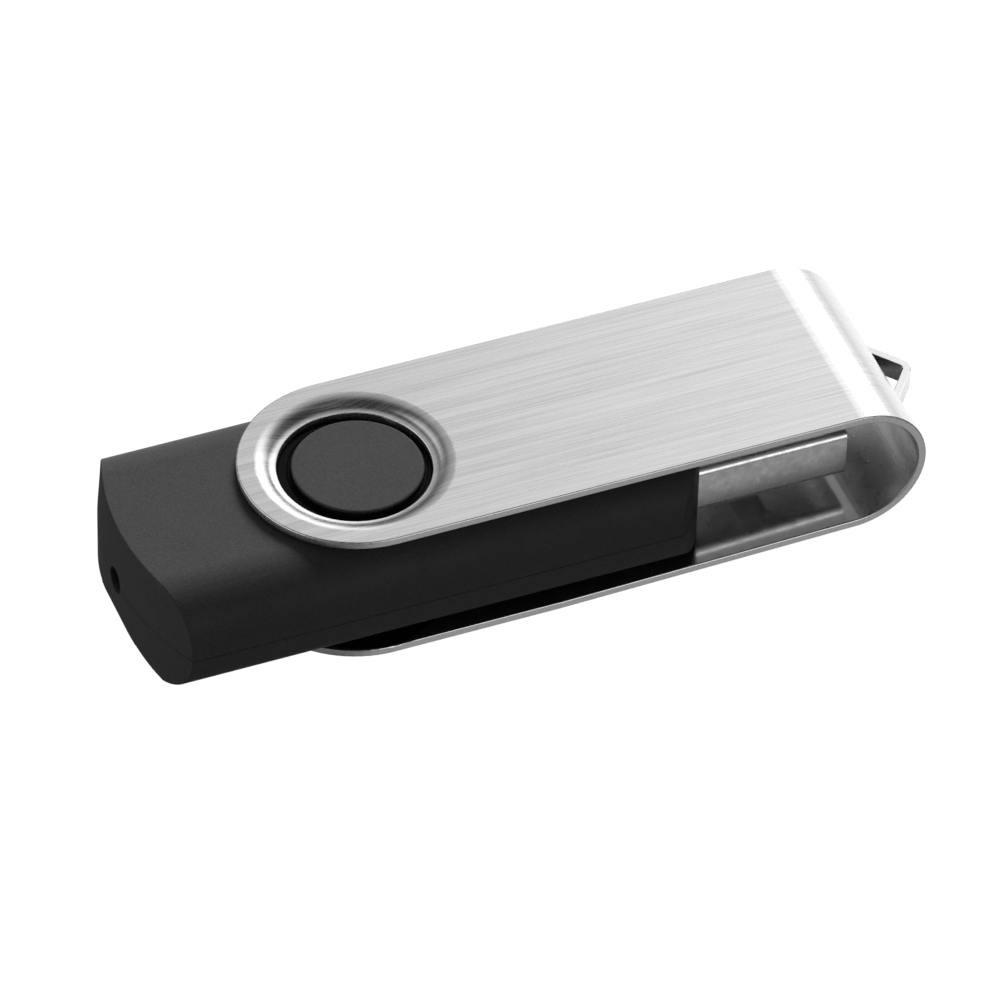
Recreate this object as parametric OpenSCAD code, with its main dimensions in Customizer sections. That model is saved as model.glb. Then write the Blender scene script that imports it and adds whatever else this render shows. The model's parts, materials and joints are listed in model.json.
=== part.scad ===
// USB flash drive with a swivel cover.
// X runs from the pivot towards the plug, Z up, and the drive lies on the cover's lower plate at Z = 0.
// The origin is at the middle of the whole drive's length and width, on the surface that it lies on.

/* [Swivel cover] */
// Width of the steel strip
cover_w = 19; // [18:0.5:20]
// Thickness of the steel sheet
sheet_t = 0.73; // [0.6:0.01:0.8]
// Distance over the two plates at the pivot
cover_h = 12.7; // [12.5:0.1:13.2]
// How far the lower plate falls from the bend to the pivot
spread = 0.6; // [0:0.1:0.8]
// Distance from the pivot to the start of the bend
bend_x = 39.95; // [38:0.05:44]
// Radius of the hole in each plate
hole_r = 6.28; // [6:0.01:6.5]
// Radius of the two curves that make the dish around the hole, at the middle of the sheet
dish_curve_r = 1.45; // [1.3:0.01:1.5]
// Steepest slope of the dish
dish_slope = 40; // [36:1:44]

/* [Key-ring loop] */
// Height of the strip that is pushed out of the bend
loop_h = 1.9; // [1.5:0.1:2.2]
// Thickness of that strip
loop_t = 0.65; // [0.5:0.05:0.7]
// How far the loop stands out of the bend
loop_out = 2.6; // [2.2:0.1:3]
// Outer radius of the loop's nose
loop_nose_r = 1.1; // [0.8:0.1:1.3]
// Slope of the loop's legs against the bend
loop_slope = 39; // [36:1:50]

/* [Plastic body] */
// Width of the body at its seam
body_w = 21.9; // [21:0.1:24]
// Distance from the pivot to the middle of the rear end
rear_reach = 20.4; // [19:0.05:22]
// How far the rear end leans in between the seam and the top
rear_lean = 0.35; // [0:0.05:0.5]
// Distance from the pivot to the middle of the front end
front_reach = 28.75; // [28:0.05:30]
// Radius of the rear end, seen from above
rear_r = 23.8; // [22:0.1:30]
// Radius of the front end, seen from above
front_r = 15; // [14:0.1:18]
// Height of the seam between the two shells
seam_z = 6.2; // [6:0.05:6.4]
// Gap between the body and each plate of the cover
body_gap = 0.2; // [0.15:0.01:0.25]
// Wall thickness of the shells
wall = 1.2; // [1:0.05:1.3]
// Corner radius along the upper shell
upper_corner_r = 4.6; // [3.7:0.1:4.6]
// Corner radius along the lower shell
lower_corner_r = 4.2; // [3.8:0.1:4.4]
// Radius under the two ends of the lower shell
under_r = 2; // [1:0.1:2.4]
// Radius of the hole that the activity light shines through
light_hole_r = 1.1; // [0.8:0.05:1.2]

/* [Pivot buttons] */
// Radius of a button
button_r = 5.36; // [5:0.01:5.4]
// How far a button's raised top sits off the pivot, towards the plug
button_shift = 0.25; // [0:0.05:0.3]
// How far a button stays below the cover's outer face
button_sink = 0.62; // [0.5:0.01:0.8]
// Running clearance between the hole's edge and the collar that it turns on
pivot_clearance = 0.08; // [0.05:0.01:0.1]

/* [USB plug] */
// Width of the plug's shell
plug_w = 12; // [12:0.1:12.1]
// Height of the plug's shell
plug_h = 4.5; // [4.5:0.1:4.6]
// Length of the plug's shell
plug_l = 18.6; // [18.4:0.1:19]
// Distance from the pivot to the plug's mouth
plug_reach = 40.55; // [40.3:0.05:41]
// Height of the plug's middle
plug_z = 5.5; // [5.4:0.05:5.6]
// Thickness of the plug's sheet metal
plug_t = 0.3; // [0.25:0.01:0.35]
// Length of a latch window, along the plug
window_l = 2.5; // [2.3:0.1:2.7]
// Width of a latch window
window_w = 2.4; // [2.2:0.1:2.5]
// Distance from the mouth to a latch window
window_back = 6; // [5:0.1:6.5]
// Width of a contact
contact_w = 1; // [0.9:0.05:1.1]

/* [Circuit board] */
// Width of the board
board_w = 14.6; // [14:0.1:14.8]
// Thickness of the board
board_t = 1; // [0.8:0.05:1]
// Distance from the pivot to the board's rear edge
board_back = 16.6; // [16:0.1:16.8]

/* [Hidden] */
$fn = 96;

// Slack for cutting tools, so that no cut ends exactly on a face
over = 1;
// Clearance between pieces that are put together and stay there
fit = 0.05;

// Cover
plate_r = cover_w / 2;
bend_r = (cover_h - spread) / 2;
mid_z = cover_h - bend_r;
level_l = 14;
dish_depth = 2 * dish_curve_r * (1 - cos(dish_slope));
dish_run = 2 * dish_curve_r * sin(dish_slope);
dish_r = hole_r + dish_run;
dish_rim = 0.4;
// Degrees by which the dish's two curves overlap where they meet
blend = 1;
loop_tip = bend_x + bend_r + loop_out;
loop_stand = loop_out - loop_nose_r;
origin_x = (loop_tip - rear_reach) / 2;

// Body
body_top = cover_h - sheet_t - body_gap;
body_bottom = sheet_t + body_gap + spread;
side_angle = 23;
side_steps = 4;
corner_steps = 10;
corner_step = 6;
under_steps = 8;
split_x = 5;
recess_clearance = 0.12;
recess_r = dish_r + 0.15;
recess_z = cover_h - sheet_t - dish_depth - recess_clearance;
pad_r = recess_r + 0.9;
pad_t = 1;
collar_r = hole_r - pivot_clearance;
collar_h = 0.32;
step_w = 0.3;
step_drop = 0.55;
edge_chamfer = 0.12;
lip_h = 0.8;
lip_t = 0.5;
post_r = 1.25;
pin_r = 0.6;
pin_l = 2.2;
post_y = 8.8;
post_xs = [-12.5, 17.5];
rib_t = 0.8;
rear_rib_x = -15.6;
rear_rib_y = 3.5;
rear_rib_w = 3;
front_rib_w = 1.8;
front_rib_gap = 0.6;
middle_rib_x = 10;
front_rib_x = 20.3;
plug_rib_x = 23.5;

// Plug
plug_back = plug_reach - plug_l;
plug_bottom = plug_z - plug_h / 2;
plug_top = plug_z + plug_h / 2;
plug_corner_r = 0.6;
window_y = 2.95;
tongue_top = plug_z;
tongue_recess = 0.6;
block_l = 2.4;
contact_t = 0.22;
contact_pitch = 2.5;
inner_contact_y = 1;
outer_contact_y = inner_contact_y + contact_pitch;
contact_z = tongue_top - 0.2;
contact_gap = 0.02;
outer_contact_back = 0.9;
inner_contact_back = 1.9;
// How far behind the block a contact's bend starts and ends, and how the upper side follows
bend_start = 0.6;
bend_end = 0.2;
bend_shift = 0.05;
prong_out = 0.5;
tail_l = 2.4;
wing_l = 3.2;
wing_h = 1.6;
prong_l = 1;

// Circuit board
copper_t = 0.04;
contact_pad = [2.7, 1.4];
contact_pad_back = 0.6;
spare_pad = [1.3, 0.28];
solder_l = 0.4;
solder_h = 0.5;
solder_tip_r = 0.45;
solder_foot_r = 0.85;
board_front = plug_back - fit;
board_top = plug_z - 0.35;
board_bottom = board_top - board_t;
pad_top = board_top + copper_t;
prong_x = plug_back - wing_l + prong_l / 2;
wing_y = plug_w / 2 - plug_t / 2;

// Chips: [length, width, height], then the place of the middle
flash_size = [18.4, 12, 1];
flash_x = -3.2;
flash_pins = 24;
controller_size = [7, 7, 1.4];
controller_x = 12.1;
controller_pins = 12;
pin_pitch = 0.5;
chip_gap = 0.1;
lead_t = 0.15;
lead_w = 0.22;
lead_reach = 0.8;
lead_shoulder = 0.25;
lead_heel = 0.4;
lead_shift = 0.1;
dimple_r = 0.4;
dimple_depth = 0.1;
dimple_in = 1;
regulator_size = [2.9, 1.6, 1.1];
regulator_at = [14, 3.2];
regulator_pitch = 1.9;
crystal_size = [3.2, 2.5, 0.7];
crystal_at = [14, -3.2];
crystal_base_t = 0.3;
crystal_margin = 0.15;
crystal_corner_r = 0.3;
led_size = [1.6, 0.8, 0.8];
led_x = -board_back + 1.1;

// Small two-ended parts: [x, y, turned a quarter]
chip_cap_size = [1.6, 0.8, 0.8];
chip_resistor_size = [1, 0.5, 0.35];
ferrite_size = [2, 1.25, 0.9];
terminal_share = 0.2;
cap_places = [[8.6, 6.2, 0], [11.1, 6.2, 0], [13.6, 6.2, 0], [8.6, -6.2, 0], [11.1, -6.2, 0],
              [17.9, -3.5, 1]];
resistor_places = [[13.4, -6.2, 0], [15.2, -6.2, 0], [15.8, 6.2, 0], [17.9, 1, 1], [17.9, -1, 1],
                   [-14.4, 2.4, 1]];
ferrite_places = [[17.9, 3.6, 1]];

// ---------- helpers ----------

// Moves a shape drawn around the pivot axis into the drive's own frame
module from_pivot() translate([-origin_x, 0, 0]) children();

// A shape and its mirror image across the drive's middle plane
module both_sides() { children(); mirror([0, 1, 0]) children(); }

// Slice of a disc from angle a0 to angle a1, less than half a turn
module pie(r, a0, a1) {
    reach = 1.5 * r / cos((a1 - a0) / 2);
    intersection() {
        circle(r);
        polygon([[0, 0], reach * [cos(a0), sin(a0)], reach * [cos((a0 + a1) / 2), sin((a0 + a1) / 2)],
                 reach * [cos(a1), sin(a1)]]);
    }
}

// Points of an arc from angle a0 to angle a1, in n steps
function arc(centre, r, a0, a1, n) =
    [for (i = [0 : n]) let (a = a0 + (a1 - a0) * i / n) centre + r * [cos(a), sin(a)]];

module ring_slice(r_in, r_out, a0, a1) difference() { pie(r_out, a0, a1); circle(r_in); }

module rounded_rect(size, r) {
    for (sx = [-1, 1], sy = [-1, 1])
        translate([sx * (size[0] / 2 - r), sy * (size[1] / 2 - r)]) circle(r);
    square([size[0] - 2 * r, size[1]], center = true);
    square([size[0], size[1] - 2 * r], center = true);
}

// Extrudes a shape drawn in the Y-Z plane along X, from x0 to x1
module along_x(x0, x1) translate([x0, 0, 0]) rotate([90, 0, 90]) linear_extrude(x1 - x0) children();

// Extrudes a shape drawn in the X-Z plane along Y, w wide
module across_y(w) rotate([90, 0, 0]) linear_extrude(w, center = true) children();

// ---------- swivel cover ----------

// Side view of the strip's outside, and with inset = sheet_t of its inside. The lower plate
// is level under the pivot and rises a little from there to the bend.
module side_view(inset, back) {
    polygon([[back, inset], [level_l, inset], [bend_x, spread + inset],
             [bend_x, cover_h - inset], [back, cover_h - inset]]);
    translate([bend_x, mid_z]) circle(bend_r - inset);
}

module folded_sheet() difference() {
    across_y(cover_w) difference() {
        side_view(0, -plate_r - over);
        side_view(sheet_t, -plate_r - 2 * over);
    }
    translate([0, 0, -over]) linear_extrude(cover_h + 2 * over) difference() {
        translate([-2 * plate_r, -plate_r - over]) square([2 * plate_r, cover_w + 2 * over]);
        circle(plate_r);
    }
    translate([0, 0, -over]) cylinder(r = dish_r, h = cover_h + 2 * over);
}

// The dish around the upper plate's hole: the sheet rolls down, then back to level at the hole's
// edge. Its rim runs a little way into the plate.
module dish() rotate_extrude() {
    translate([dish_r, cover_h - sheet_t]) square([dish_rim, sheet_t]);
    translate([dish_r, cover_h - sheet_t / 2 - dish_curve_r])
        ring_slice(dish_curve_r - sheet_t / 2, dish_curve_r + sheet_t / 2, 90, 90 + dish_slope + blend);
    translate([hole_r, cover_h - sheet_t / 2 - dish_depth + dish_curve_r])
        ring_slice(dish_curve_r - sheet_t / 2, dish_curve_r + sheet_t / 2, 270, 270 + dish_slope + blend);
}

// Plan of the loop's strip: two straight legs that run tangent into a round nose
module loop_plan() {
    leg_l = (loop_stand + loop_nose_r * cos(loop_slope) + sheet_t) / sin(loop_slope);
    translate([loop_tip - loop_nose_r, 0]) {
        ring_slice(loop_nose_r - loop_t, loop_nose_r, -loop_slope, loop_slope);
        for (side = [0, 1]) mirror([0, side]) rotate(loop_slope)
            translate([loop_nose_r - loop_t, 0]) square([loop_t, leg_l]);
    }
}

module key_loop() translate([0, 0, mid_z - loop_h / 2]) linear_extrude(loop_h) difference() {
    loop_plan();
    translate([bend_x - over, -plate_r]) square([bend_r - sheet_t / 2 + over, cover_w]);
}

// The slot that the strip leaves in the bend, as long as the loop is wide inside
module loop_window() {
    inner_r = loop_nose_r - loop_t;
    half = inner_r * sin(loop_slope) + (loop_stand + inner_r * cos(loop_slope)) / tan(loop_slope);
    translate([bend_x, -half, mid_z - loop_h / 2]) cube([bend_r + over, 2 * half, loop_h]);
}

module swivel_cover() color("silver") from_pivot() {
    difference() {
        folded_sheet();
        loop_window();
    }
    dish();
    translate([0, 0, cover_h]) mirror([0, 0, 1]) dish();
    key_loop();
}

// ---------- plastic body ----------

// Section of a shell, drawn upwards from the seam: on each side a flatter side arc, then a corner arc.
// The arcs are drawn with side_steps and corner_steps straight steps.
module section(height, corner_r, inset) {
    r = corner_r - inset;
    h = height - inset;
    side_r = (h - r * (1 - sin(side_angle))) / sin(side_angle);
    side = [body_w / 2 - inset - side_r, 0];
    corner = side + (side_r - r) * [cos(side_angle), sin(side_angle)];
    half = concat(arc(side, side_r, 0, side_angle, side_steps),
                  arc(corner, r, side_angle + corner_step, 90, corner_steps));
    polygon(concat(half, [for (i = [len(half) - 1 : -1 : 0]) [-half[i][0], half[i][1]]]));
}

// Side view of the lower shell, drawn upwards from the seam, with both ends rolled under
module end_profile(height, inset) {
    r = under_r - inset;
    h = height - inset;
    back = -rear_reach + inset;
    front = front_reach - inset;
    polygon(concat([[back, 0], [front, 0]], arc([front - r, h - r], r, 0, 90, under_steps),
                   arc([back + r, h - r], r, 90, 180, under_steps)));
}

// Plan of the body: a shallow arc behind and a tighter arc in front
module body_plan(inset) {
    reach = front_reach + rear_reach;
    intersection() {
        translate([rear_r - rear_reach, 0]) circle(rear_r - inset, $fn = 240);
        translate([split_x - reach, -body_w]) square([reach, 2 * body_w]);
    }
    intersection() {
        translate([front_reach - front_r, 0]) circle(front_r - inset, $fn = 240);
        translate([split_x, -body_w]) square([reach, 2 * body_w]);
    }
}

// Outline of each shell, pulled in by inset
module upper_form(inset) translate([0, 0, seam_z]) intersection() {
    height = body_top - seam_z;
    along_x(-rear_reach - over, front_reach + over) section(height, upper_corner_r, inset);
    linear_extrude(height) body_plan(inset);
    union() {
        translate([rear_r - rear_reach, 0, 0])
            cylinder(r1 = rear_r - inset, r2 = rear_r - inset - rear_lean, h = height, $fn = 240);
        translate([split_x, -body_w, 0]) cube([front_reach, 2 * body_w, height]);
    }
}

module lower_form(inset) translate([0, 0, seam_z]) mirror([0, 0, 1]) intersection() {
    height = seam_z - body_bottom;
    along_x(-rear_reach - over, front_reach + over) section(height, lower_corner_r, inset);
    linear_extrude(height) body_plan(inset);
    across_y(body_w + over) end_profile(height, inset);
}

// Everything round on the pivot axis of a shell, drawn for the upper one: the recess that
// the dish sinks into, the collar that the hole turns on, and the button
module pivot_recess() translate([0, 0, recess_z]) cylinder(r = recess_r, h = cover_h);

module pivot_pad() translate([0, 0, recess_z - pad_t]) cylinder(r = pad_r, h = pad_t + fit);

module pivot_button() {
    translate([0, 0, recess_z - fit]) cylinder(r = collar_r, h = collar_h + fit);
    translate([button_shift, 0, 0]) rotate_extrude() {
        top = cover_h - button_sink;
        polygon([[0, recess_z], [button_r + step_w, recess_z], [button_r + step_w, top - step_drop],
                 [button_r, top - step_drop], [button_r, top - edge_chamfer],
                 [button_r - edge_chamfer, top], [0, top]]);
    }
}

module in_lower() translate([0, 0, cover_h]) mirror([0, 0, 1]) children();

// Openings in the joint between the shells: the plug's and the activity light's
module end_openings() {
    translate([split_x, -plug_w / 2 - fit, plug_bottom - fit])
        cube([front_reach, plug_w + 2 * fit, plug_h + 2 * fit]);
    translate([-rear_reach - over, 0, seam_z]) rotate([0, 90, 0])
        cylinder(r = light_hole_r, h = wall + 4 * over);
}

// Ring that follows the shells' inner edge, hanging down from the seam
module seam_ring(outer_inset, inner_inset, drop) translate([0, 0, seam_z - drop])
    linear_extrude(drop) difference() {
        seam_outline(outer_inset);
        seam_outline(inner_inset);
    }

module seam_outline(inset) intersection() {
    body_plan(inset);
    square([3 * front_reach, body_w - 2 * inset], center = true);
}

module at_posts() for (x = post_xs, side = [-1, 1]) translate([x, side * post_y, 0]) children();

module upper_shell() color("#2b2b2b") from_pivot() {
    difference() {
        union() {
            difference() {
                upper_form(0);
                upper_form(wall);
            }
            intersection() {
                upper_form(wall / 2);
                union() {
                    pivot_pad();
                    at_posts() translate([0, 0, seam_z]) cylinder(r = post_r, h = body_top);
                    both_sides() translate([rear_rib_x, rear_rib_y, board_top + fit])
                        cube([rib_t, rear_rib_w, body_top]);
                    both_sides() translate([front_rib_x, wing_y + front_rib_gap, seam_z])
                        cube([rib_t, front_rib_w, body_top]);
                    translate([plug_rib_x, -plug_w / 2, plug_top + fit]) cube([rib_t, plug_w, body_top]);
                }
            }
            seam_ring(wall - lip_t, wall, lip_h);
        }
        pivot_recess();
        end_openings();
    }
    pivot_button();
    at_posts() translate([0, 0, seam_z - pin_l]) cylinder(r = pin_r, h = pin_l);
}

module lower_shell() color("#262626") from_pivot() {
    difference() {
        union() {
            difference() {
                lower_form(0);
                lower_form(wall);
            }
            intersection() {
                lower_form(wall / 2);
                union() {
                    in_lower() pivot_pad();
                    at_posts() cylinder(r = post_r, h = seam_z);
                    for (x = [rear_rib_x, middle_rib_x, front_rib_x])
                        translate([x, -board_w / 2 + over, 0])
                            cube([rib_t, board_w - 2 * over, board_bottom - fit]);
                    translate([plug_rib_x, -plug_w / 2, 0]) cube([rib_t, plug_w, plug_bottom - fit]);
                }
            }
        }
        in_lower() pivot_recess();
        end_openings();
        seam_ring(wall - lip_t - fit, wall + fit, lip_h + fit);
        at_posts() translate([0, 0, seam_z - pin_l - fit]) cylinder(r = pin_r + fit, h = pin_l + over);
    }
    in_lower() pivot_button();
}

// ---------- USB plug ----------

module plug_section(inset) translate([0, plug_z])
    rounded_rect([plug_w - 2 * inset, plug_h - 2 * inset], plug_corner_r - inset);

module plug_shell() color("lightgray") from_pivot() {
    difference() {
        along_x(plug_back, plug_reach) difference() {
            plug_section(0);
            plug_section(plug_t);
        }
        both_sides() translate([plug_reach - window_back - window_l, window_y - window_w / 2, 0])
            cube([window_l, window_w, cover_h]);
    }
    both_sides() translate([plug_back, wing_y, 0]) across_y(plug_t) {
        translate([-wing_l, board_top + fit]) square([wing_l + over, wing_h]);
        translate([-wing_l, board_bottom - prong_out]) square([prong_l, board_t + prong_out + wing_h / 2]);
    }
}

module plug_insulator() color("#e8e8e4") from_pivot() difference() {
    along_x(plug_back, plug_reach - tongue_recess) plug_section(plug_t + fit);
    translate([plug_back + block_l, -plug_w / 2, tongue_top]) cube([plug_l, plug_w, plug_h]);
    at_contacts() translate([plug_back - over, -contact_w / 2 - fit, contact_z - contact_gap])
        cube([contact_end(true) - plug_back + over + fit, contact_w + 2 * fit, contact_t + 2 * contact_gap]);
}

// The two outer contacts, power and ground, reach further forward than the data pair
function contact_end(outer) = plug_reach - tongue_recess - (outer ? outer_contact_back : inner_contact_back);

module at_contacts() for (y = [inner_contact_y, outer_contact_y], side = [-1, 1])
    translate([0, side * y, 0]) children();

module contact(y, outer) translate([plug_back, y, 0]) across_y(contact_w) polygon([
    [-tail_l, pad_top], [-bend_start, pad_top], [-bend_end, contact_z],
    [contact_end(outer) - plug_back, contact_z], [contact_end(outer) - plug_back, contact_z + contact_t],
    [-bend_end - bend_shift, contact_z + contact_t], [-bend_start - bend_shift, pad_top + contact_t],
    [-tail_l, pad_top + contact_t]]);

module contact_vbus() color("gold") from_pivot() contact(outer_contact_y, true);
module contact_data_minus() color("gold") from_pivot() contact(inner_contact_y, false);
module contact_data_plus() color("gold") from_pivot() contact(-inner_contact_y, false);
module contact_ground() color("gold") from_pivot() contact(-outer_contact_y, true);

// ---------- circuit board ----------

module circuit_board() color("#1f5f3a") from_pivot() difference() {
    translate([-board_back, -board_w / 2, board_bottom]) cube([board_front + board_back, board_w, board_t]);
    both_sides() translate([prong_x, wing_y, 0])
        cube([prong_l + 2 * fit, plug_t + 2 * fit, 3 * board_top], center = true);
}

module contact_pads() color("#c9a227") from_pivot() at_contacts()
    translate([plug_back - tail_l - contact_pad_back, -contact_pad[1] / 2, board_top])
        cube([contact_pad[0], contact_pad[1], copper_t]);

module spare_chip_pads() color("#c9a227") from_pivot() for (side = [-1, 1], i = [0 : flash_pins - 1])
    translate([flash_x + side * (flash_size[0] + lead_reach) / 2, row_y(i, flash_pins),
               board_bottom - copper_t / 2])
        cube([spare_pad[0], spare_pad[1], copper_t], center = true);

function row_y(i, count) = (i - (count - 1) / 2) * pin_pitch;

// ---------- chips ----------

// A moulded chip body with a round dimple at its first pin, standing on z = 0
module chip(size) difference() {
    translate([-size[0] / 2, -size[1] / 2, chip_gap]) cube(size);
    translate([dimple_in - size[0] / 2, dimple_in - size[1] / 2, chip_gap + size[2] - dimple_depth])
        cylinder(r = dimple_r, h = over);
}

// A row of bent leads that leaves a chip's face at x = 0, leave high above the board
module lead_row(count, pitch, leave) for (i = [0 : count - 1])
    translate([0, (i - (count - 1) / 2) * pitch, 0]) across_y(lead_w) polygon([
        [0, leave], [lead_shoulder, leave], [lead_heel, lead_t], [lead_reach, lead_t], [lead_reach, 0],
        [lead_heel - lead_shift, 0], [lead_shoulder - lead_shift, leave - lead_t], [0, leave - lead_t]]);

module on_board(at) translate([at[0], at[1], board_top]) children();
module under_board(at) translate([at[0], at[1], board_bottom]) mirror([0, 0, 1]) children();

module flash_chip() color("#1c1c1e") from_pivot() on_board([flash_x, 0]) chip(flash_size);

module flash_chip_leads() color("silver") from_pivot() on_board([flash_x, 0])
    for (turn = [0, 180]) rotate(turn) translate([flash_size[0] / 2, 0, 0])
        lead_row(flash_pins, pin_pitch, chip_gap + flash_size[2] / 2);

module controller_chip() color("#202022") from_pivot() on_board([controller_x, 0]) chip(controller_size);

module controller_leads() color("silver") from_pivot() on_board([controller_x, 0])
    for (turn = [0 : 90 : 270]) rotate(turn) translate([controller_size[0] / 2, 0, 0])
        lead_row(controller_pins, pin_pitch, chip_gap + controller_size[2] / 2);

module crystal_base() color("#d8d2c0") from_pivot() under_board(crystal_at)
    translate([0, 0, crystal_base_t / 2])
        cube([crystal_size[0], crystal_size[1], crystal_base_t], center = true);

module crystal_can() color("silver") from_pivot() under_board(crystal_at)
    translate([0, 0, crystal_base_t]) linear_extrude(crystal_size[2] - crystal_base_t)
        rounded_rect([crystal_size[0] - 2 * crystal_margin, crystal_size[1] - 2 * crystal_margin],
                     crystal_corner_r);

module voltage_regulator() color("#1c1c1e") from_pivot() under_board(regulator_at) chip(regulator_size);

module regulator_leads() color("silver") from_pivot() under_board(regulator_at) {
    leave = chip_gap + regulator_size[2] / 2;
    rotate(90) translate([regulator_size[1] / 2, 0, 0]) lead_row(1, regulator_pitch, leave);
    rotate(-90) translate([regulator_size[1] / 2, 0, 0]) lead_row(2, regulator_pitch, leave);
}

// ---------- small parts ----------

// Places two-ended parts; the third number of a place turns the part across the board
module at_places(places) for (p = places) on_board(p) rotate(90 * p[2]) children();

module part_middle(size) translate([0, 0, size[2] / 2])
    cube([size[0] * (1 - 2 * terminal_share), size[1], size[2]], center = true);

module part_ends(size) for (side = [-1, 1])
    translate([side * size[0] / 2 * (1 - terminal_share), 0, size[2] / 2])
        cube([size[0] * terminal_share, size[1], size[2]], center = true);

module activity_led() color("white") from_pivot() on_board([led_x, 0]) rotate(90) part_middle(led_size);
module led_terminals() color("gold") from_pivot() on_board([led_x, 0]) rotate(90) part_ends(led_size);
module capacitors() color("#b08a5a") from_pivot() at_places(cap_places) part_middle(chip_cap_size);
module capacitor_terminals() color("silver") from_pivot()
    at_places(cap_places) part_ends(chip_cap_size);
module resistors() color("#222222") from_pivot()
    at_places(resistor_places) part_middle(chip_resistor_size);
module resistor_terminals() color("silver") from_pivot()
    at_places(resistor_places) part_ends(chip_resistor_size);
module ferrite_bead() color("#55565a") from_pivot() at_places(ferrite_places) part_middle(ferrite_size);
module ferrite_terminals() color("silver") from_pivot() at_places(ferrite_places) part_ends(ferrite_size);

// Fillets behind the contacts' tails, and cones around the plug's two prongs under the board
module solder_joints() color("silver") from_pivot() {
    at_contacts() translate([plug_back - tail_l, 0, 0]) across_y(contact_w)
        polygon([[0, pad_top], [0, pad_top + contact_t], [-solder_l, pad_top]]);
    both_sides() difference() {
        translate([prong_x, wing_y, board_bottom - solder_h])
            cylinder(r1 = solder_tip_r, r2 = solder_foot_r, h = solder_h);
        translate([prong_x, wing_y, board_bottom]) cube([prong_l, plug_t, 4 * prong_out], center = true);
    }
}

swivel_cover();
upper_shell();
lower_shell();
plug_shell();
plug_insulator();
contact_vbus();
contact_data_minus();
contact_data_plus();
contact_ground();
circuit_board();
contact_pads();
spare_chip_pads();
flash_chip();
flash_chip_leads();
controller_chip();
controller_leads();
crystal_can();
crystal_base();
voltage_regulator();
regulator_leads();
activity_led();
led_terminals();
capacitors();
capacitor_terminals();
resistors();
resistor_terminals();
ferrite_bead();
ferrite_terminals();
solder_joints();
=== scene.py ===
"""Looks of the USB flash drive: rounded edges, materials, camera and soft studio light.

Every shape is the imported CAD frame's own. Modifiers round its edges, and each material slot of its record
is filled with a procedural material.
"""
import json
import math

import bpy
from mathutils import Matrix, Vector


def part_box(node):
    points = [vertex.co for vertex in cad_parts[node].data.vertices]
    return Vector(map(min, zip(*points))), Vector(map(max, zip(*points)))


MM = 0.001
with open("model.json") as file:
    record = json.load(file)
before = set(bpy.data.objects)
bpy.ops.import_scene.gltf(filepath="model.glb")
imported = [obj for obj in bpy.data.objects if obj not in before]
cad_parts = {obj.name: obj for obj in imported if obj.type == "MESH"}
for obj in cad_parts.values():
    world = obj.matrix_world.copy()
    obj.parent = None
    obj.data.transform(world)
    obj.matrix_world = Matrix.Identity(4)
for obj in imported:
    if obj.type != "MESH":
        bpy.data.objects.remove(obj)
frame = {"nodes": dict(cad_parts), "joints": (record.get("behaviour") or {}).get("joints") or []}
nodes = frame["nodes"]
scene = bpy.context.scene
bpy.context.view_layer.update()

# The cover: flat plates from the pivot to the bend, which is half a turn about the line at middle_z
_, cover_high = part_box("swivel_cover")
pivot = Vector(frame["joints"][0]["pos_m"])
bend_radius = 6.05 * MM
bend_start_x = pivot.x + 39.95 * MM
middle_z = cover_high.z - bend_radius

# The key-ring loop lies beyond loop_start_x, and the dished holes nearer to the pivot than outline_reach
loop_start_x = bend_start_x + bend_radius - 1.2 * MM
loop_half_width = 5 * MM
outline_reach = 9.3 * MM

# Painted shade on the plastic between a button's top and the edge of the recess that it stands in: near
# black and less glossy there
body_middle_z = pivot.z + 0.3 * MM
button_radius = 5.36 * MM
button_shift = 0.25 * MM
recess_radius = 8.29 * MM
button_blend = 0.03 * MM
recess_blend = 0.05 * MM
groove_shade_start_z = 4 * MM
groove_shade_full_z = 4.2 * MM

# Camera: angles in degrees, aim from the pivot, lens in mm on a sensor 36 mm wide
camera_azimuth = -22.803
camera_elevation = 43.753
camera_roll = 1.823
camera_aim = Vector((12.174, -1.174, -0.986)) * MM
camera_distance = 693.5 * MM
camera_lens = 309.5
sensor_width = 36

# Softbox: a disk, in metres and watts
softbox_direction = Vector((0.45, 0.68, 0.62))
softbox_distance = 0.9
softbox_size = 0.42
softbox_power = 20

# Floor: half its width in metres
floor_half = 3.0

# Soft round glows in the surroundings: direction, angle within which a glow is full, angle at which it
# ends, and strength. The angles are in degrees from the direction.
GLOWS = (
    # Behind and above, wide: the top plate
    ((0.25, 0.6, 0.76), 10, 45, 0.45),
    # Behind on the right: the end of the top plate and the bend
    ((0.6, 0.67, 0.45), 8, 27.5, 1.6),
    # Behind on the right and low: the crescent of the dish and the bend's outer side
    ((0.62, 0.66, -0.46), 25, 37, 1.2),
    # In front and low: the plug's upper edge
    ((0.28, -0.9, 0.3), 12, 24, 1.4),
    # In front and below: the cut edges and the plug's side
    ((0.28, -0.67, -0.69), 14, 32, 0.24),
    # On the left: the rear end of the body
    ((-0.95, 0.25, 0.15), 20, 55, 0.8),
)


# ---------- node helpers ----------

def blank(slot):
    """The record's material for a slot, emptied, with its tree and a Principled shader."""
    material = bpy.data.materials[slot]
    material.use_nodes = True
    tree = material.node_tree
    tree.nodes.clear()
    output = tree.nodes.new("ShaderNodeOutputMaterial")
    shader = tree.nodes.new("ShaderNodeBsdfPrincipled")
    tree.links.new(shader.outputs["BSDF"], output.inputs["Surface"])
    return tree, shader


def put(tree, socket, value):
    """Links an output to a socket, or sets a plain value on it."""
    if isinstance(value, bpy.types.NodeSocket):
        tree.links.new(value, socket)
    else:
        socket.default_value = value


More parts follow.
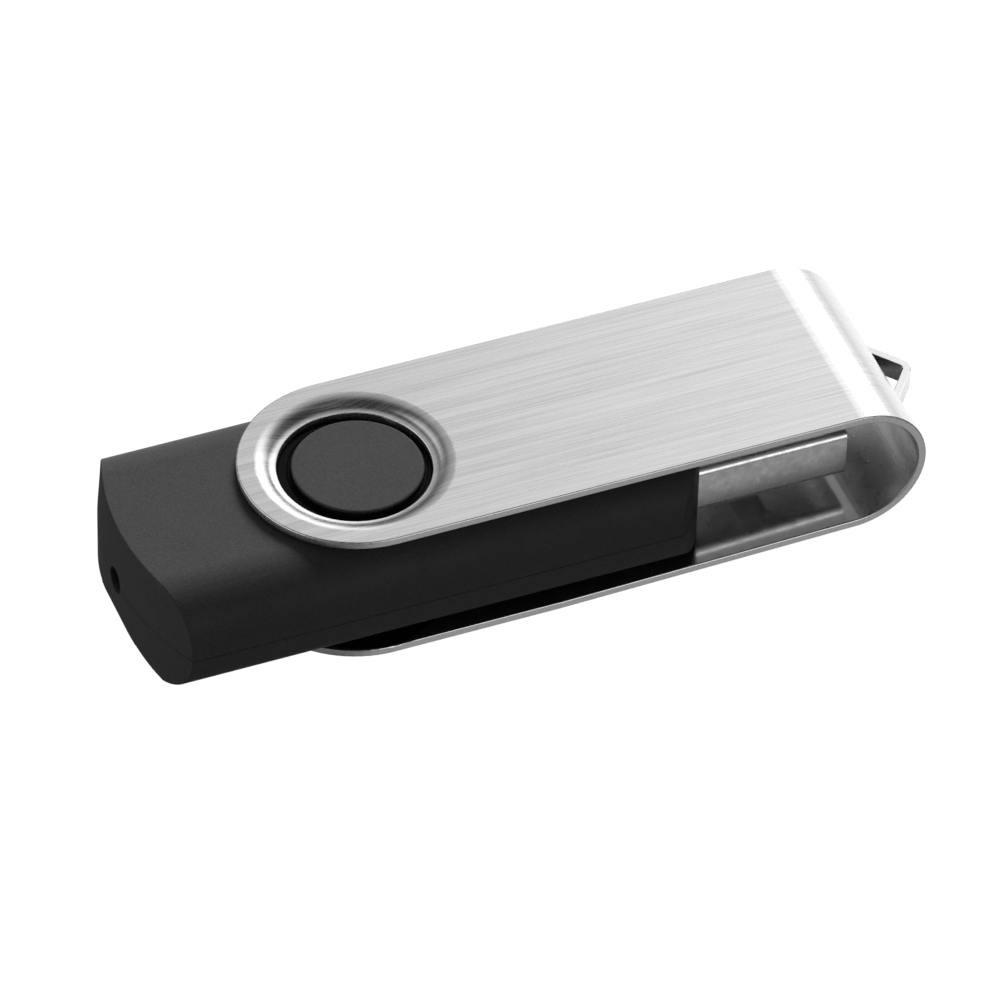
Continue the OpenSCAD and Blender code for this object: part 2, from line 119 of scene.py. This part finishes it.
def coords(tree, scale=(1, 1, 1)):
    """The node's own coordinates in millimetres, stretched."""
    place = tree.nodes.new("ShaderNodeTexCoord")
    stretch = tree.nodes.new("ShaderNodeMapping")
    stretch.inputs["Scale"].default_value = [s / MM for s in scale]
    tree.links.new(place.outputs["Object"], stretch.inputs["Vector"])
    return stretch.outputs["Vector"]


def parts_of(tree, output):
    """X, Y and Z of one output of a texture coordinate node."""
    place = tree.nodes.new("ShaderNodeTexCoord")
    split = tree.nodes.new("ShaderNodeSeparateXYZ")
    tree.links.new(place.outputs[output], split.inputs["Vector"])
    return split.outputs


def noise(tree, vector, scale, detail=3, roughness=0.5):
    """A noise texture's level, from 0 to 1."""
    texture = tree.nodes.new("ShaderNodeTexNoise")
    texture.inputs["Scale"].default_value = scale
    texture.inputs["Detail"].default_value = detail
    texture.inputs["Roughness"].default_value = roughness
    tree.links.new(vector, texture.inputs["Vector"])
    return texture.outputs["Fac"]


def remap(tree, value, low, high, to_low=0.0, to_high=1.0, smooth=False):
    """Takes the range from low to high to the range from to_low to to_high, and holds it there beyond."""
    change = tree.nodes.new("ShaderNodeMapRange")
    change.interpolation_type = "SMOOTHSTEP" if smooth else "LINEAR"
    change.inputs["From Min"].default_value = low
    change.inputs["From Max"].default_value = high
    change.inputs["To Min"].default_value = to_low
    change.inputs["To Max"].default_value = to_high
    put(tree, change.inputs["Value"], value)
    return change.outputs["Result"]


def maths(tree, operation, first, second=0.0):
    """One step of arithmetic on outputs or plain values."""
    step = tree.nodes.new("ShaderNodeMath")
    step.operation = operation
    for socket, value in zip(step.inputs, (first, second)):
        put(tree, socket, value)
    return step.outputs[0]


def plus(tree, first, second):
    return maths(tree, "ADD", first, second)


def minus(tree, first, second):
    return maths(tree, "SUBTRACT", first, second)


def times(tree, first, second):
    return maths(tree, "MULTIPLY", first, second)


def length_of(tree, first, second):
    """The length of a line with these two sides."""
    return maths(tree, "SQRT", plus(tree, times(tree, first, first), times(tree, second, second)))


def either(tree, share, at_one, at_zero):
    """One value where the share is 1, the other where it is 0, and a blend between."""
    return plus(tree, times(tree, share, at_one), times(tree, minus(tree, 1.0, share), at_zero))


def mix(tree, share, first, second):
    """Colour between two colours or colour outputs."""
    blend = tree.nodes.new("ShaderNodeMix")
    blend.data_type = "RGBA"
    put(tree, blend.inputs[0], share)
    for socket, value in ((blend.inputs[6], first), (blend.inputs[7], second)):
        put(tree, socket, value if isinstance(value, bpy.types.NodeSocket) else (*value, 1))
    return blend.outputs[2]


def grey(level):
    return (level, level, level)


def bump(tree, shader, height, strength, distance):
    """Fine relief from a height, on the shader's normal."""
    relief = tree.nodes.new("ShaderNodeBump")
    relief.inputs["Strength"].default_value = strength
    relief.inputs["Distance"].default_value = distance
    tree.links.new(height, relief.inputs["Height"])
    tree.links.new(relief.outputs["Normal"], shader.inputs["Normal"])


# ---------- materials ----------

def cover_side(tree):
    """+1 on the sheet's outside, -1 on its inside and 0 on its cut edges."""
    position = parts_of(tree, "Object")
    normal = parts_of(tree, "Normal")
    out_x = maths(tree, "MAXIMUM", minus(tree, position["X"], bend_start_x), 0.0)
    out_z = minus(tree, position["Z"], middle_z)
    along = plus(tree, times(tree, out_x, normal["X"]), times(tree, out_z, normal["Z"]))
    return maths(tree, "DIVIDE", along, length_of(tree, out_x, out_z))


def brushed_cover():
    """Brushed along its length outside, smooth inside and duller there in the bend, with grey cut edges."""
    tree, shader = blank("brushed_cover")
    side = cover_side(tree)
    outside = remap(tree, side, 0.35, 0.5)
    inside = remap(tree, side, -0.35, -0.5)
    fine = noise(tree, coords(tree, (0.09, 8, 0.09)), 1.0, 4, 0.65)
    broad = noise(tree, coords(tree, (0.035, 2.2, 0.035)), 1.0, 3, 0.6)
    streaks = plus(tree, times(tree, fine, 0.6), times(tree, broad, 0.4))
    mottle = noise(tree, coords(tree, (1.1, 1.1, 1.1)), 1.0, 4, 0.6)
    speckle = noise(tree, coords(tree, (9, 9, 9)), 1.0, 3, 0.6)

    brushed = mix(tree, remap(tree, streaks, 0.4, 0.6), grey(0.62), grey(0.88))
    polished = mix(tree, remap(tree, mottle, 0.3, 0.7), grey(0.6), grey(0.68))
    cut = mix(tree, remap(tree, speckle, 0.35, 0.65), grey(0.76), grey(0.98))
    colour = mix(tree, inside, mix(tree, outside, cut, brushed), polished)
    tree.links.new(colour, shader.inputs["Base Color"])
    shader.inputs["Metallic"].default_value = 1

    along = parts_of(tree, "Object")["X"]
    dull_in_bend = remap(tree, along, bend_start_x - MM, bend_start_x + 2 * MM, 0.0, 0.14, smooth=True)
    rough_outside = remap(tree, streaks, 0.35, 0.65, 0.22, 0.34)
    rough_cut = remap(tree, speckle, 0.35, 0.65, 0.3, 0.45)
    rough_inside = plus(tree, remap(tree, mottle, 0.3, 0.7, 0.12, 0.17), dull_in_bend)
    rough = either(tree, inside, rough_inside, either(tree, outside, rough_outside, rough_cut))
    tree.links.new(rough, shader.inputs["Roughness"])

    around = tree.nodes.new("ShaderNodeTangent")
    around.direction_type = "RADIAL"
    around.axis = "Y"
    tree.links.new(around.outputs["Tangent"], shader.inputs["Tangent"])
    shader.inputs["Anisotropic Rotation"].default_value = 0.25
    tree.links.new(times(tree, outside, 0.75), shader.inputs["Anisotropic"])
    bump(tree, shader, times(tree, streaks, outside), 0.35, 0.004 * MM)


def painted_groove_shade(tree):
    """Mask of the painted shade: 1 on the plastic between a button's top and the edge of its recess, and 0
    elsewhere.
    """
    position = parts_of(tree, "Object")
    from_button = length_of(tree, minus(tree, position["X"], pivot.x + button_shift), position["Y"])
    from_pivot = length_of(tree, minus(tree, position["X"], pivot.x), position["Y"])
    from_middle = maths(tree, "ABSOLUTE", minus(tree, position["Z"], body_middle_z))
    beyond_button = remap(tree, from_button, button_radius - button_blend, button_radius)
    in_recess = remap(tree, from_pivot, recess_radius + recess_blend, recess_radius)
    near_faces = remap(tree, from_middle, groove_shade_start_z, groove_shade_full_z)
    return times(tree, times(tree, beyond_button, in_recess), near_faces)


def black_plastic():
    """Black with a fine moulded grain, with painted shade around each button: near black and less glossy
    between its top and the edge of its recess.
    """
    tree, shader = blank("black_plastic")
    groove_shade = painted_groove_shade(tree)
    grain = noise(tree, coords(tree), 6.0, 3, 0.6)
    cloud = noise(tree, coords(tree), 0.35, 3, 0.5)
    colour = mix(tree, remap(tree, grain, 0.3, 0.7), grey(0.026), grey(0.038))
    # Painted shade: near-black colour on the plastic between a button's top and the edge of its recess
    tree.links.new(mix(tree, groove_shade, colour, grey(0.004)), shader.inputs["Base Color"])
    tree.links.new(remap(tree, cloud, 0.3, 0.7, 0.5, 0.58), shader.inputs["Roughness"])
    # Painted shade: weak specular in the same ring, so that it stays dark
    tree.links.new(remap(tree, groove_shade, 0, 1, 0.2, 0.02), shader.inputs["Specular IOR Level"])
    bump(tree, shader, grain, 0.9, 0.02 * MM)


def satin_metal(slot, low, high, rough_low, rough_high):
    """Plated metal with soft blotches and a fine grain."""
    tree, shader = blank(slot)
    cloud = noise(tree, coords(tree), 1.4, 4, 0.65)
    grain = noise(tree, coords(tree), 16.8, 3, 0.6)
    both = plus(tree, times(tree, cloud, 0.65), times(tree, grain, 0.35))
    tree.links.new(mix(tree, remap(tree, both, 0.35, 0.65), low, high), shader.inputs["Base Color"])
    tree.links.new(remap(tree, both, 0.35, 0.65, rough_high, rough_low), shader.inputs["Roughness"])
    shader.inputs["Metallic"].default_value = 1
    bump(tree, shader, both, 0.15, 0.02 * MM)


def dull_solid(slot, low, high, rough_low, rough_high, grain_scale):
    """Plastic, epoxy or ceramic with a fine grain."""
    tree, shader = blank(slot)
    grain = noise(tree, coords(tree), grain_scale, 4, 0.6)
    tree.links.new(mix(tree, remap(tree, grain, 0.35, 0.65), low, high), shader.inputs["Base Color"])
    tree.links.new(remap(tree, grain, 0.35, 0.65, rough_low, rough_high), shader.inputs["Roughness"])
    bump(tree, shader, grain, 0.3, 0.01 * MM)


def board_laminate():
    """Solder mask over faint copper lines."""
    tree, shader = blank("board_laminate")
    lines = tree.nodes.new("ShaderNodeTexBrick")
    lines.inputs["Scale"].default_value = 1.0
    lines.inputs["Brick Width"].default_value = 3.1
    lines.inputs["Row Height"].default_value = 0.62
    lines.inputs["Mortar Size"].default_value = 0.07
    lines.inputs["Mortar Smooth"].default_value = 0.4
    tree.links.new(coords(tree), lines.inputs["Vector"])
    cloud = noise(tree, coords(tree), 1.2, 3, 0.5)
    mask = mix(tree, remap(tree, cloud, 0.3, 0.7), (0.012, 0.085, 0.03), (0.02, 0.12, 0.045))
    colour = mix(tree, lines.outputs["Fac"], mask, (0.05, 0.24, 0.09))
    tree.links.new(colour, shader.inputs["Base Color"])
    tree.links.new(remap(tree, cloud, 0.3, 0.7, 0.25, 0.38), shader.inputs["Roughness"])
    bump(tree, shader, lines.outputs["Fac"], 0.4, 0.03 * MM)


def add_materials():
    """Fills every slot: darkest and lightest colour, then the range of roughness, then the grain's scale."""
    brushed_cover()
    black_plastic()
    board_laminate()
    satin_metal("plug_metal", grey(0.68), grey(0.92), 0.24, 0.36)
    satin_metal("gold_plating", (0.78, 0.56, 0.22), (0.9, 0.7, 0.34), 0.18, 0.3)
    satin_metal("tinned_metal", grey(0.62), grey(0.78), 0.2, 0.32)
    satin_metal("can_metal", grey(0.58), grey(0.7), 0.25, 0.35)
    satin_metal("solder", grey(0.58), grey(0.76), 0.16, 0.3)
    dull_solid("insulator_plastic", grey(0.66), grey(0.74), 0.38, 0.5, 2.0)
    dull_solid("chip_epoxy", grey(0.022), grey(0.04), 0.5, 0.65, 14.0)
    dull_solid("pale_ceramic", (0.64, 0.6, 0.5), (0.74, 0.7, 0.6), 0.55, 0.7, 6.0)
    dull_solid("led_resin", (0.78, 0.8, 0.7), (0.86, 0.88, 0.8), 0.2, 0.3, 3.0)
    dull_solid("tan_ceramic", (0.42, 0.29, 0.17), (0.52, 0.38, 0.25), 0.45, 0.6, 6.0)
    dull_solid("dark_ceramic", grey(0.035), grey(0.06), 0.45, 0.6, 6.0)


# ---------- edge rounding ----------

def prepare(node):
    """Smooth shading over clean faces, by modifiers; the node's own vertices stay as imported."""
    obj = nodes[node]
    mesh = obj.data
    for name in ("custom_normal", "sharp_edge", "sharp_face"):
        if name in mesh.attributes:
            mesh.attributes.remove(mesh.attributes[name])
    mesh.polygons.foreach_set("use_smooth", [True] * len(mesh.polygons))
    weld = obj.modifiers.new("weld", "WELD")
    weld.merge_threshold = 1e-6
    flatten = obj.modifiers.new("flatten", "DECIMATE")
    flatten.decimate_type = "DISSOLVE"
    flatten.angle_limit = math.radians(0.5)


def add_bevel(node, width, segments=2, angle=32, group=None):
    """Rounds a node's edges that are sharper than an angle, or those of a vertex group."""
    bevel = nodes[node].modifiers.new("bevel", "BEVEL")
    bevel.width = width
    bevel.segments = segments
    bevel.limit_method = "ANGLE"
    bevel.angle_limit = math.radians(angle)
    bevel.use_clamp_overlap = False
    if group:
        bevel.limit_method = "VGROUP"
        bevel.vertex_group = group.name


def even_normals(node):
    """Shading normals follow the large faces, so flat faces look flat, and break at edges left crisp."""
    split = nodes[node].modifiers.new("crisp edges", "EDGE_SPLIT")
    split.split_angle = math.radians(40)
    split.use_edge_sharp = False
    weighted = nodes[node].modifiers.new("even normals", "WEIGHTED_NORMAL")
    weighted.mode = "FACE_AREA"
    weighted.weight = 80
    weighted.keep_sharp = True


def cover_outline():
    """The cover's vertices on its outline, without the dished holes and the loop."""
    obj = nodes["swivel_cover"]
    group = obj.vertex_groups.new(name="outline")
    for vertex in obj.data.vertices:
        from_pivot = math.hypot(vertex.co.x - pivot.x, vertex.co.y)
        in_loop = vertex.co.x > loop_start_x and abs(vertex.co.y) < loop_half_width
        if from_pivot > outline_reach and not in_loop:
            group.add([vertex.index], 1, "REPLACE")
    return group


def round_edges():
    """The cover's outline is rounded more than its other edges; the shells and the plug once each."""
    prepare("swivel_cover")
    add_bevel("swivel_cover", 0.13 * MM, 3, group=cover_outline())
    add_bevel("swivel_cover", 0.04 * MM, 1, 40)
    even_normals("swivel_cover")
    for node, width in (("upper_shell", 0.12), ("lower_shell", 0.12), ("plug_shell", 0.06)):
        prepare(node)
        add_bevel(node, width * MM)
        even_normals(node)


# ---------- stage ----------

def add_floor():
    """A white floor that lights neither the metal nor the plastic."""
    mesh = bpy.data.meshes.new("floor")
    corners = [(x * floor_half, y * floor_half, 0) for x, y in ((-1, -1), (1, -1), (1, 1), (-1, 1))]
    mesh.from_pydata(corners, [], [(0, 1, 2, 3)])
    floor = bpy.data.objects.new("floor", mesh)
    scene.collection.objects.link(floor)
    material = bpy.data.materials.new("floor")
    material.use_nodes = True
    shader = material.node_tree.nodes["Principled BSDF"]
    shader.inputs["Base Color"].default_value = (0.02, 0.02, 0.02, 1)
    shader.inputs["Roughness"].default_value = 0.9
    shader.inputs["Specular IOR Level"].default_value = 0
    shader.inputs["Emission Color"].default_value = (1, 1, 1, 1)
    shader.inputs["Emission Strength"].default_value = 1.0
    mesh.materials.append(material)
    floor.visible_glossy = False
    floor.visible_diffuse = False


def glow(tree, direction, centre, inner, outer, strength):
    """A soft round glow: full within inner degrees of its centre, gone at outer degrees."""
    dot = tree.nodes.new("ShaderNodeVectorMath")
    dot.operation = "DOT_PRODUCT"
    tree.links.new(direction, dot.inputs[0])
    dot.inputs[1].default_value = Vector(centre).normalized()
    low = math.cos(math.radians(outer))
    high = math.cos(math.radians(inner))
    return remap(tree, dot.outputs["Value"], low, high, 0.0, strength, smooth=True)


def add_world():
    """Studio surroundings: dim below, nearly dark above, with a ring of walls between and the glows."""
    world = bpy.data.worlds.new("studio")
    world.use_nodes = True
    tree = world.node_tree
    place = tree.nodes.new("ShaderNodeTexCoord")
    direction = place.outputs["Generated"]
    split = tree.nodes.new("ShaderNodeSeparateXYZ")
    tree.links.new(direction, split.inputs["Vector"])
    height = split.outputs["Z"]
    base = remap(tree, height, -0.1, 0.04, 0.1, 0.03, smooth=True)
    walls_from = remap(tree, height, -0.05, 0.15, smooth=True)
    walls_until = remap(tree, height, 0.6, 0.35, 0.0, 0.17, smooth=True)
    total = plus(tree, base, times(tree, walls_from, walls_until))
    for centre, inner, outer, strength in GLOWS:
        total = plus(tree, total, glow(tree, direction, centre, inner, outer, strength))
    background = tree.nodes["Background"]
    background.inputs["Color"].default_value = (1, 1, 1, 1)
    tree.links.new(total, background.inputs["Strength"])
    scene.world = world


def add_softbox():
    """A softbox for the plastic and the shadows; it isn't mirrored in the metal."""
    towards = softbox_direction.normalized()
    data = bpy.data.lights.new("softbox", "AREA")
    data.shape = "DISK"
    data.size = softbox_size
    data.energy = softbox_power
    light = bpy.data.objects.new("softbox", data)
    light.location = softbox_distance * towards
    light.rotation_euler = towards.to_track_quat("Z", "Y").to_euler()
    light.visible_glossy = False
    scene.collection.objects.link(light)


def add_camera():
    """The photograph's viewing angle, through a very long lens."""
    azimuth = math.radians(camera_azimuth)
    elevation = math.radians(camera_elevation)
    roll = math.radians(camera_roll)
    flat = math.cos(elevation)
    back = Vector((math.sin(azimuth) * flat, -math.cos(azimuth) * flat, math.sin(elevation)))
    level = Vector((math.cos(azimuth), math.sin(azimuth), 0))
    above = back.cross(level)
    right = math.cos(roll) * level + math.sin(roll) * above
    up = math.cos(roll) * above - math.sin(roll) * level
    data = bpy.data.cameras.new("camera")
    data.lens = camera_lens
    data.sensor_width = sensor_width
    data.clip_start = 0.01
    data.clip_end = 20
    camera = bpy.data.objects.new("camera", data)
    turn = Matrix((right, up, back)).transposed().to_4x4()
    camera.matrix_world = Matrix.Translation(pivot + camera_aim + camera_distance * back) @ turn
    scene.collection.objects.link(camera)
    scene.camera = camera


add_materials()
round_edges()
add_floor()
add_world()
add_softbox()
add_camera()
scene.view_settings.view_transform = "Standard"
